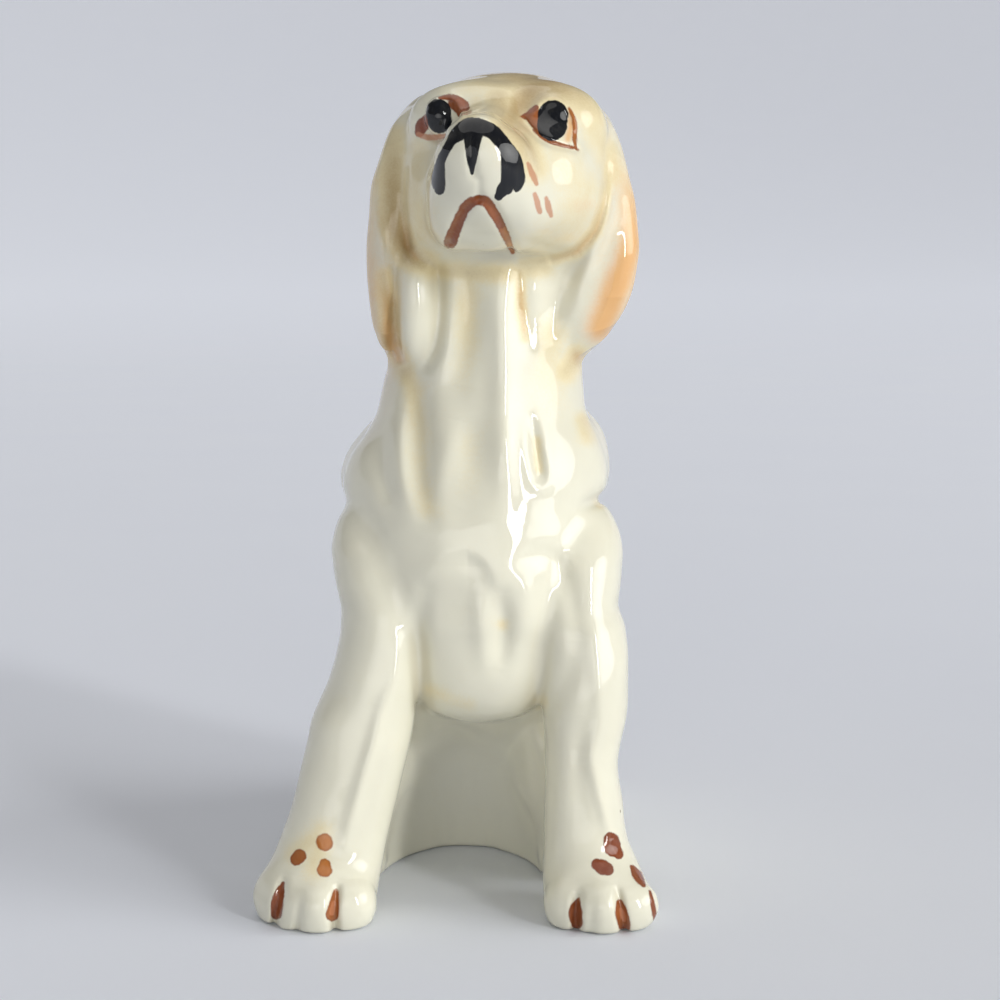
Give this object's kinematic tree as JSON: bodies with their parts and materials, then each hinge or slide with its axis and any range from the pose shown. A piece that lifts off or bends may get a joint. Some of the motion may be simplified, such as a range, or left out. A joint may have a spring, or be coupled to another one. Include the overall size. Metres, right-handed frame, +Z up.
{
  "type": "seated dog ornament",
  "caption": "Glazed slip-cast seated dog ornament with raised head, hanging ears and painted face, stuck up from separate castings with slip; stands free on its paws and seat.",
  "frame": {"origin": "centre of the figure's footprint box, on the surface it sits on", "axes": "+Z up, the dog faces -Y, +X is the dog's own left"},
  "size_m": [0.0366, 0.054, 0.0764],
  "materials": {
    "cream_glaze": "glossy transparent glaze over cream body, airbrushed tan shading and brushed enamel marks",
    "tan_glaze": "glossy glaze over airbrushed tan",
    "fired_slip": "fired slip, matt where unglazed"
  },
  "bodies": {
    "root": {"trunk_casting": "cream_glaze", "head_casting": "cream_glaze", "left_ear": "tan_glaze", "right_ear": "tan_glaze", "left_foreleg": "cream_glaze", "right_foreleg": "cream_glaze", "left_hind_foot": "cream_glaze", "right_hind_foot": "cream_glaze", "tail": "cream_glaze", "neck_slip_joint": "fired_slip", "left_ear_slip_joint": "fired_slip", "right_ear_slip_joint": "fired_slip", "left_foreleg_slip_joint": "fired_slip", "right_foreleg_slip_joint": "fired_slip", "left_hind_foot_slip_joint": "fired_slip", "right_hind_foot_slip_joint": "fired_slip", "tail_slip_joint": "fired_slip"}
  },
  "joints": []
}
